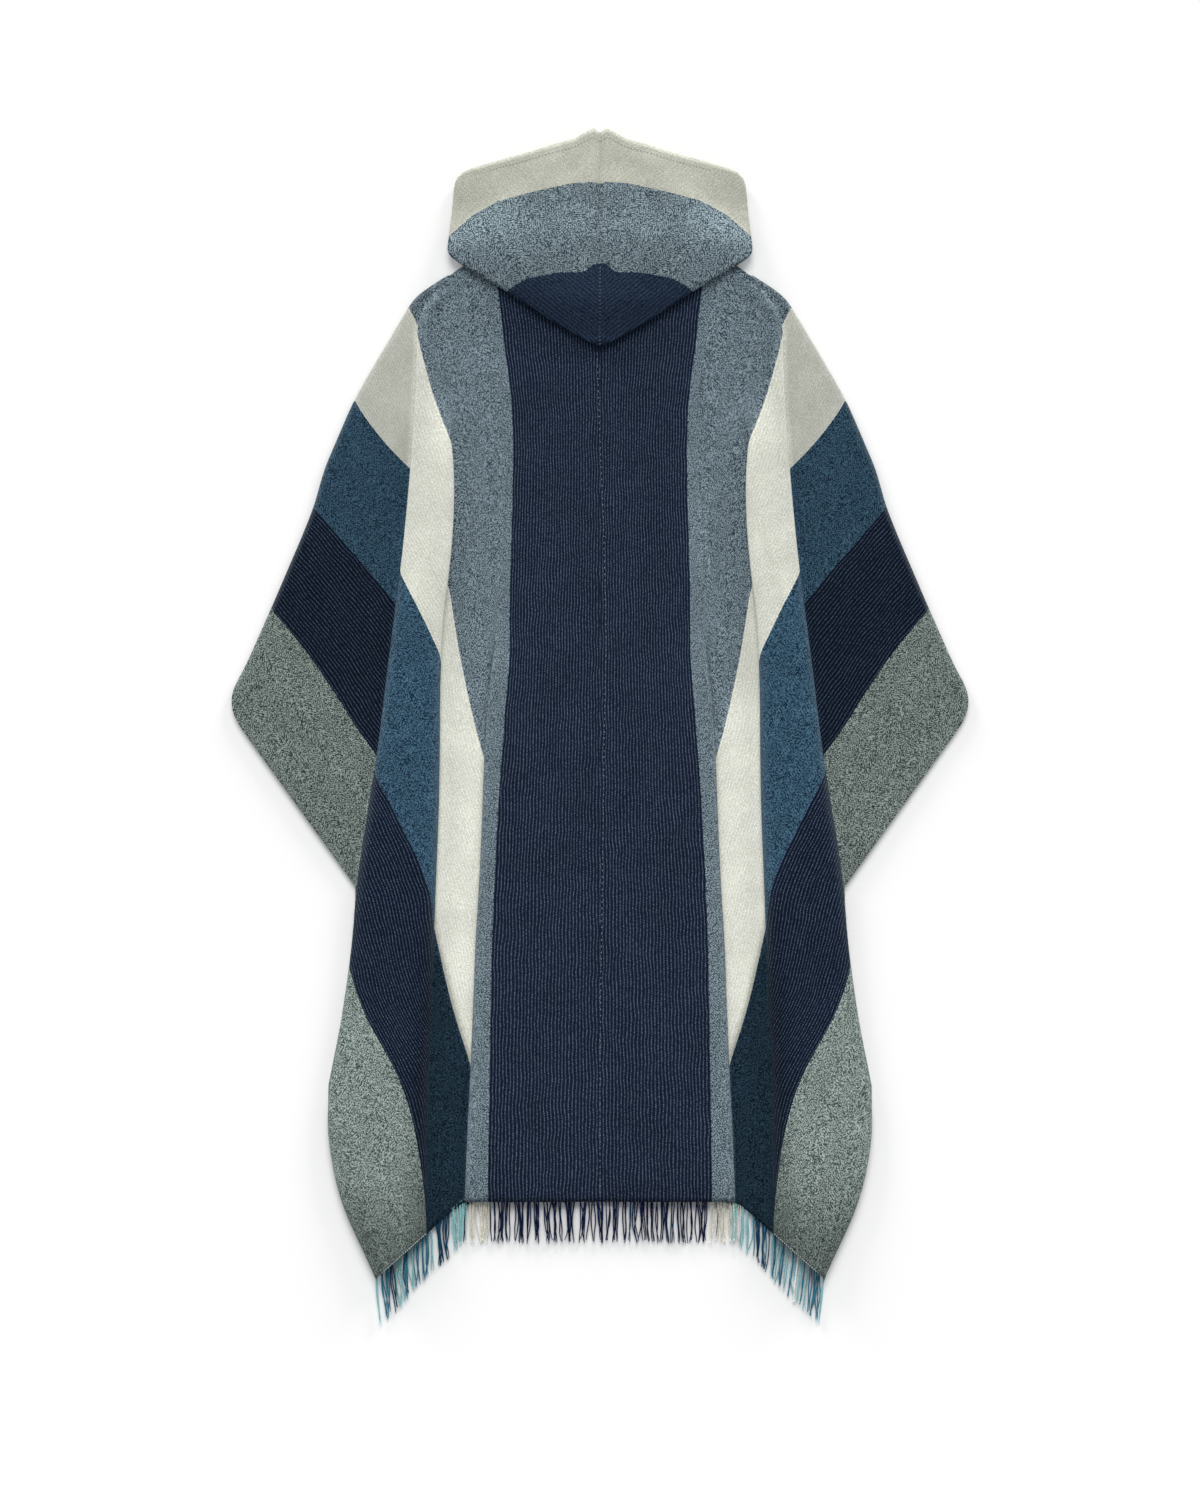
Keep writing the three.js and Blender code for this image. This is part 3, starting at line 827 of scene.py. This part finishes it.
HOOD_BOTTOM = HOOD_SIDE[0][0]
HOOD_FULL = 905  # the hood's middle is fully raised from here
HOOD_THIN = 960  # up to here, and flattens out towards its face edge
HOOD_ON_BACK = 955  # its under layer lies on the back up to here
HOOD_ON_FLOOR = 1000  # and on the surface from here on
FACE_HALF_WIDTH = FACE_EDGE[-1][0]
FACE_SETBACK = 6  # the under layer ends this far short of the face edge
HOOD_SPACE = 3.0  # open space between the hood's two layers
HOOD_REST = 5.9  # middle of its under layer where it lies on the back
HOOD_CROWN = 8.5  # extra rise of the middle of the hood
HOOD_LEAN = (0.78, 0.62)  # the hood is cut on the slant, which turns its weave by about 38 degrees
HOOD_ROWS = 46
HOOD_COLUMNS = 34

HOOD_CREASES = {
    "right": [(30, 985, 60, 925, 14, 1.6), (78, 1010, 112, 950, 16, 1.4), (120, 950, 146, 962, 7, 1.2),
              (14, 1050, 60, 1035, 10, 0.8)],
    "left": [(26, 980, 66, 930, 15, 1.5), (84, 1005, 108, 945, 15, 1.5), (122, 952, 145, 958, 7, 1.1),
             (18, 1052, 66, 1030, 11, 0.8)],
}


def on_line(line, place):
    """The second number of a line of pairs, where the first number is place."""
    return np.interp(place, *zip(*line))


def hood_place(x, height):
    """The place across the hood's stripes, from its low peak up to the face edge."""
    navy = on_line(NAVY_LINE, x)
    grey = on_line(GREY_LINE, x)
    face = max(on_line(FACE_EDGE, x), grey + 5)
    places = (HOOD_PEAK, HOOD_NAVY_END, HOOD_GREY_END, HOOD_CREAM_END)
    return float(np.interp(height, (navy - 80, navy, grey, face), places))


def hood_tone_and_shade(x, place):
    """The navy and grey are darker by the seam and lighter towards the side; the cream is darkened towards
    the side fold as painted shade.
    """
    if place < HOOD_GREY_END:
        return mix(0.86, 1.16, smooth_share(x, 50, 135))
    return 1 - 0.1 * smooth_share(x, 90, 140)


def hood_knot(rise, share, level):
    """One point of a hood half: rise is its share of the way up to the face edge, share
    its share of the way out to the side fold, and level 0 on the under layer and 1 on the
    upper one."""
    top = on_line(FACE_EDGE, share * FACE_HALF_WIDTH) - FACE_SETBACK * (level < 0.5)
    height = mix(HOOD_BOTTOM, top, rise)
    half = on_line(HOOD_SIDE, height)
    x = share * half
    bulge = 1 - min(1.0, x / max(1.0, half)) ** 2.4
    filled = smooth_share(height, HOOD_BOTTOM, HOOD_FULL)
    filled *= 1 - 0.75 * smooth_share(height, HOOD_THIN, 1070)
    floor = mix(HOOD_REST, FRONT_MID, smooth_share(height, HOOD_ON_BACK, HOOD_ON_FLOOR))
    z = floor + HOOD_CROWN * bulge * filled + level * (CLOTH + HOOD_SPACE)
    z -= 0.7 * level * smooth_share(x, 3, 0)
    place = hood_place(x, height)
    rib = HOOD_LEAN[0] * height - HOOD_LEAN[1] * x
    along = HOOD_LEAN[0] * x + HOOD_LEAN[1] * height
    return (x, height, z, place, rib, along, 0, hood_tone_and_shade(x, place))


def hood_section(row):
    """One row of a hood half: the upper layer out to the side fold, and back under it."""
    shares = np.linspace(0, 1, HOOD_COLUMNS) ** 0.9
    upper = [(share, 1) for share in shares[:-1]]
    fold = [(0.994, 0.93), (1.0, 0.7), (1.0, 0.3), (0.994, 0.07)]
    under = [(share, 0) for share in shares[-2::-4]]
    return [hood_knot(row ** 0.9, share, level) for share, level in upper + fold + under + [(0, 0)]]


def sew_hood_half(side, mirror, material):
    rows = [hood_section(row) for row in np.linspace(0, 1, HOOD_ROWS)]
    grid = softened(np.array(rows), 1, 0)
    x, height = grid[:, :, X], grid[:, :, HEIGHT]
    grid[:, :, Z] += crease_lift(x, height, side, HOOD_CREASES) * smooth_share(x, 0, 20)
    half = make_cloth(f"{side}_hood_cloth", [grid], mirror, material)
    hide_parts(f"{side}_hood")
    return half, grid


# ---- fringe ----

NAVY_YARN = wool_colour(20, 31, 64)
CREAM_YARN = wool_colour(214, 211, 197)
PALE_TEAL_YARN = wool_colour(138, 186, 190)
TEAL_YARN = wool_colour(56, 116, 138)
DEEP_TEAL_YARN = wool_colour(24, 66, 92)
WHITE_YARN = wool_colour(230, 234, 230)

# Stretches of the back hem: from, to, the mean space between two strands, and the yarns
# that hang there with their weights
FRINGE_STRETCHES = [
    (1.5, 111, 1.95, [(NAVY_YARN, 12), (DEEP_TEAL_YARN, 1)]),
    (111, 134, 1.7, [(CREAM_YARN, 7), (NAVY_YARN, 1)]),
    (134, 147, 1.15, [(PALE_TEAL_YARN, 8), (CREAM_YARN, 1)]),
    (147, 171, 1.5, [(DEEP_TEAL_YARN, 5), (TEAL_YARN, 6), (PALE_TEAL_YARN, 2)]),
    (171.5, 224, 1.45, [(TEAL_YARN, 8), (PALE_TEAL_YARN, 6), (DEEP_TEAL_YARN, 2), (WHITE_YARN, 2)]),
]
FRONT_STRETCHES = [
    (2, 111, 2, [(NAVY_YARN, 1)]),
    (111, 134, 2, [(CREAM_YARN, 1)]),
    (139, 171, 2, [(DEEP_TEAL_YARN, 1)]),
    (171, 214, 2, [(TEAL_YARN, 1)]),
]
STRAND_SIDES = 5
STRAND_STEPS = 12
CENTRE_STRAND = 41  # length of a strand on the straight hem
CORNER_STRAND = 46  # and at the hem's corners
FRONT_STRAND_SHARE = 0.8  # the hidden strands are this much as long
ROOT_DEPTH = 3  # a strand starts this far inside the cloth
FRONT_REST = 0.9  # height of a hidden strand's end
WAVE_TURN = 6.3  # a full turn of a strand's wave
YARN_SPACE = 0.9  # between the yarns of one bunch


def hang_fringe(name, stretches, rise, mirror, material, seed):
    """One mesh of loose yarn ends. rise is the hem's height above the back hem line."""
    chance = random.Random(seed)
    strands = no_threads()
    for start, end, pitch, yarns in stretches:
        colours, weights = zip(*yarns)
        x = start
        while x < end:
            colour = chance.choices(colours, weights)[0]
            count = chance.choice((1, 2, 2, 3))
            meet = chance.gauss(0, 1.6)
            for i in range(count):
                add_strand(strands, x + YARN_SPACE * i, rise, meet - 0.7 * i, colour, chance)
            x += pitch * count * chance.uniform(0.75, 1.3)
    return make_threads(name, strands, mirror, material)


def no_threads():
    """Lists for the points and faces of a mesh of threads, and for what each point knows."""
    return {"points": [], "faces": [], "tint": [], "across": [], "along": []}


def make_threads(name, threads, mirror, material, smooth=True):
    attributes = {label: threads[label] for label in ("tint", "across", "along")}
    return make_piece(name, threads["points"], threads["faces"], mirror, attributes, material,
                      smooth)


def add_strand(strands, root_x, rise, meet, colour, chance):
    """A wavy tapering tube from the hem. meet is how far its bunch's ends swing."""
    outward = float(smooth_share(root_x, HEM_STRAIGHT, HEM_CORNER))
    root_height = rise - hem_drop(root_x)
    length = mix(CENTRE_STRAND, CORNER_STRAND, outward) * chance.uniform(0.93, 1.03)
    length *= FRONT_STRAND_SHARE if rise else 1
    lean = -4 * outward + meet + chance.gauss(0, 0.8)
    bow = chance.gauss(0, 1.8)
    wave = chance.uniform(0.3, 1.0)
    phase = chance.uniform(0, WAVE_TURN)
    waves = chance.uniform(0.8, 1.6)
    radius = chance.uniform(0.6, 0.75)
    root_z = FRONT_MID if rise else BACK_MID + SEAM_LIFT
    end_z = FRONT_REST if rise else chance.uniform(1.0, 3.6)
    start = len(strands["points"])
    for step in range(STRAND_STEPS):
        share = step / (STRAND_STEPS - 1)
        x = root_x + lean * share + bow * math.sin(3.1 * share)
        x += wave * share * math.sin(phase + waves * WAVE_TURN * share)
        height = root_height + ROOT_DEPTH - (length + ROOT_DEPTH) * share
        z = mix(root_z, end_z, share ** 0.5)
        thick = radius * (1 - 0.4 * share ** 4)
        for corner in range(STRAND_SIDES):
            angle = 2 * math.pi * corner / STRAND_SIDES
            strands["points"].append((x + thick * math.cos(angle), height, z + thick * math.sin(angle)))
            strands["tint"].append(colour)
            strands["across"].append(root_x * 7)  # far apart, so that no two are shaded alike
            strands["along"].append(height)
    for step in range(STRAND_STEPS - 1):
        for corner in range(STRAND_SIDES):
            a = start + step * STRAND_SIDES + corner
            b = start + step * STRAND_SIDES + (corner + 1) % STRAND_SIDES
            strands["faces"].append((a, a + STRAND_SIDES, b + STRAND_SIDES, b))
    last = start + (STRAND_STEPS - 1) * STRAND_SIDES
    strands["faces"].append(tuple(range(last, last + STRAND_SIDES)))
    strands["faces"].append(tuple(reversed(range(start, start + STRAND_SIDES))))


# ---- stitches ----

# Each row of stitches, as (mm from one stitch to the next, length of a stitch)
HEM_STITCH = (2.6, 1.9)
FACE_STITCH = (3.4, 2.2)
BACK_STITCH = (6.3, 2.2)
CROWN_STITCH = (3.6, 2.0)
STITCH_HALF_WIDTH = 0.35
STITCH_RISE = 0.25
STITCH_SINK = 0.3  # its ends lie this deep in the cloth
SEAM_THREAD = wool_colour(118, 131, 143)
HEM_THREAD = wool_colour(196, 202, 200)
HOOD_THREAD = wool_colour(132, 132, 122)


def sew(name, path, mirror, stitch, colour, material):
    """A row of short raised stitches along a path of (x, height, z) points."""
    pitch, length = stitch
    stitches = no_threads()
    path = np.array(path, dtype=float)
    run = np.concatenate([[0], np.cumsum(np.linalg.norm(np.diff(path, axis=0), axis=1))])

    def point_at(distance):
        return np.array([np.interp(distance, run, path[:, axis]) for axis in range(3)])

    for start in np.arange(0, run[-1] - length, pitch):
        add_stitch(stitches, point_at(start), point_at(start + length), colour)
    return make_threads(name, stitches, mirror, material, smooth=False)


def add_stitch(stitches, start, end, colour):
    """One stitch: a thin ridged bar that sinks into the cloth at both ends."""
    along = (end - start) / max(1e-6, np.linalg.norm(end - start))
    aside = np.array([along[1], -along[0], 0]) * STITCH_HALF_WIDTH
    first = len(stitches["points"])
    for share, rise in ((0, -STITCH_SINK), (0.5, STITCH_RISE), (1, -STITCH_SINK)):
        middle = mix(start, end, share) + np.array([0, 0, rise])
        ridge = middle + np.array([0, 0, STITCH_RISE])
        stitches["points"].extend([tuple(middle - aside), tuple(ridge), tuple(middle + aside)])
        stitches["tint"].extend([colour] * 3)
        stitches["across"].extend([0, 1, 2])
        stitches["along"].extend([middle[1]] * 3)
    for ring in (0, 3):
        for side in (0, 1):
            a = first + ring + side
            stitches["faces"].append((a, a + 1, a + 4, a + 3))


def on_top(points):
    """The upper face of the cloth at some of a grid's points, for stitches to lie on."""
    path = np.array(points)[:, :3].copy()
    path[:, 2] += CLOTH / 2
    return path


# The centre back seam wanders a little as the cloth lies, as (x, height)
CENTRE_SEAM = [(-3, 848), (0, 760), (3, 690), (5, 620), (6, 560), (4, 450), (2, 300), (0, 150), (0, 4)]
SEAM_TOP = BACK_MID + SEAM_LIFT + CLOTH / 2
CORNER_HEM = (172, 224)  # the stretch of the side grey's hem that is stitched
CORNER_HEM_DEPTH = 1.2  # its stitches lie this far in from the edge
HOOD_SEAM_TOP = 934  # the hood's stitches show below this height


def sew_corner_hem(side, mirror, back, material):
    low, high = CORNER_HEM
    hem = [point for point in back[0] if low < point[X] < high and point[ACROSS] > STRIPE_ENDS["side_navy"]]
    path = on_top(hem)
    path[:, 1] += CORNER_HEM_DEPTH
    return sew(f"{side}_hem_stitches", path, mirror, HEM_STITCH, HEM_THREAD, material)


def sew_face_hem(side, mirror, hood_grid, material):
    upper = hood_grid[-3, : len(hood_grid[0]) // 2 + 4]
    path = on_top([point for point in upper if point[X] < FACE_HALF_WIDTH - 3])
    return sew(f"{side}_hood_hem_stitches", path, mirror, FACE_STITCH, HOOD_THREAD, material)


def sew_centre_seams(hood_grid, material):
    """The centre back seam, and the hood's seam from its peak up to where the navy ends."""
    back_seam = [(x, height, SEAM_TOP) for x, height in CENTRE_SEAM]
    sew("back_seam_stitches", back_seam, 1, BACK_STITCH, SEAM_THREAD, material)
    crown = on_top([row[0] for row in hood_grid])
    peak = [point for point in crown if point[1] < HOOD_SEAM_TOP]
    sew("hood_seam_stitches", peak, 1, CROWN_STITCH, SEAM_THREAD, material)


# ---- studio: white floor, soft light from the top of the picture, camera overhead ----

FLOOR_REACH = 30.0  # metres
FLOOR_CLEAR = 0.0005  # metres between the floor and the garment
PAPER_WHITE = (0.945, 0.945, 0.945, 1)
SKY_COLOUR = (0.93, 0.965, 1.0, 1)
SKY_STRENGTH = 0.45
LIGHT_COLOUR = (1.0, 0.98, 0.95)


def lay_floor():
    mesh = bpy.data.meshes.new("floor")
    corners = [(x * FLOOR_REACH, y * FLOOR_REACH, 0) for x, y in ((-1, -1), (1, -1), (1, 1), (-1, 1))]
    mesh.from_pydata(corners, [], [(0, 1, 2, 3)])
    floor = bpy.data.objects.new("floor", mesh)
    floor.location.z = cad_bounds[0][2] - FLOOR_CLEAR
    bpy.context.collection.objects.link(floor)
    paper = Shader("white_paper")
    paper.surface.inputs["Base Color"].default_value = PAPER_WHITE
    paper.surface.inputs["Roughness"].default_value = 1.0
    paper.surface.inputs["Specular IOR Level"].default_value = 0.0
    mesh.materials.append(paper.material)


def light_studio():
    world = bpy.data.worlds.new("studio")
    world.use_nodes = True
    world.node_tree.nodes["Background"].inputs["Color"].default_value = SKY_COLOUR
    world.node_tree.nodes["Background"].inputs["Strength"].default_value = SKY_STRENGTH
    bpy.context.scene.world = world

    add_sun("window_light", energy=2.1, spread=35, tilt=50, turn=0)
    add_sun("low_light_left", energy=2.0, spread=16, tilt=80, turn=34)
    add_sun("low_light_right", energy=2.0, spread=16, tilt=80, turn=-34)

    bpy.context.scene.view_settings.view_transform = "Standard"


def add_sun(name, energy, spread, tilt, turn):
    """A broad light from the top of the picture: tilt is its angle from straight above,
    turn how far round from the top of the picture it stands, all in degrees."""
    sun = bpy.data.lights.new(name, "SUN")
    sun.energy = energy
    sun.angle = math.radians(spread)
    sun.color = LIGHT_COLOUR
    lamp = bpy.data.objects.new(name, sun)
    lamp.rotation_euler = (math.radians(-tilt), 0, math.radians(turn))
    bpy.context.collection.objects.link(lamp)


CAMERA_HEIGHT = 4.0  # metres
CAMERA_PLACE = -0.02225  # metres along y, so that the garment stands in the frame as in the photo


def place_camera():
    """Straight above the garment: the picture is 1.2 m wide and 1.5 m high."""
    data = bpy.data.cameras.new("camera")
    data.sensor_fit = "HORIZONTAL"
    data.sensor_width = 36
    data.lens = 120
    camera = bpy.data.objects.new("camera", data)
    camera.location = (0, CAMERA_PLACE, CAMERA_HEIGHT)
    bpy.context.collection.objects.link(camera)
    bpy.context.scene.camera = camera


# ---- the whole garment ----


def make_side(side, mirror, seed, cloth, hood, yarns):
    """One strip with its front, its fringes, its half of the hood and their stitches."""
    strip, back = lay_strip(side, mirror, cloth)
    front = lay_front(side, mirror, cloth)
    half, hood_grid = sew_hood_half(side, mirror, hood)
    fringe = hang_fringe(f"{side}_fringe", FRINGE_STRETCHES, 0, mirror, yarns, seed)
    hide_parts(*(f"{side}_fringe_{part}" for part in ("centre", "valley", "side")))
    under = hang_fringe(f"{side}_front_fringe", FRONT_STRETCHES, FRONT_RISE, mirror, yarns, seed + 1)
    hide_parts(f"{side}_fringe_front_centre", f"{side}_fringe_front_side")
    hem = sew_corner_hem(side, mirror, back, yarns)
    face_hem = sew_face_hem(side, mirror, hood_grid, yarns)
    return hood_grid


def main():
    cloth = striped_wool()
    hood = hood_wool()
    yarns = yarn()
    make_side("right", 1, 5, cloth, hood, yarns)
    hood_grid = make_side("left", -1, 11, cloth, hood, yarns)
    sew_centre_seams(hood_grid, yarns)
    lay_floor()
    light_studio()
    place_camera()


main()
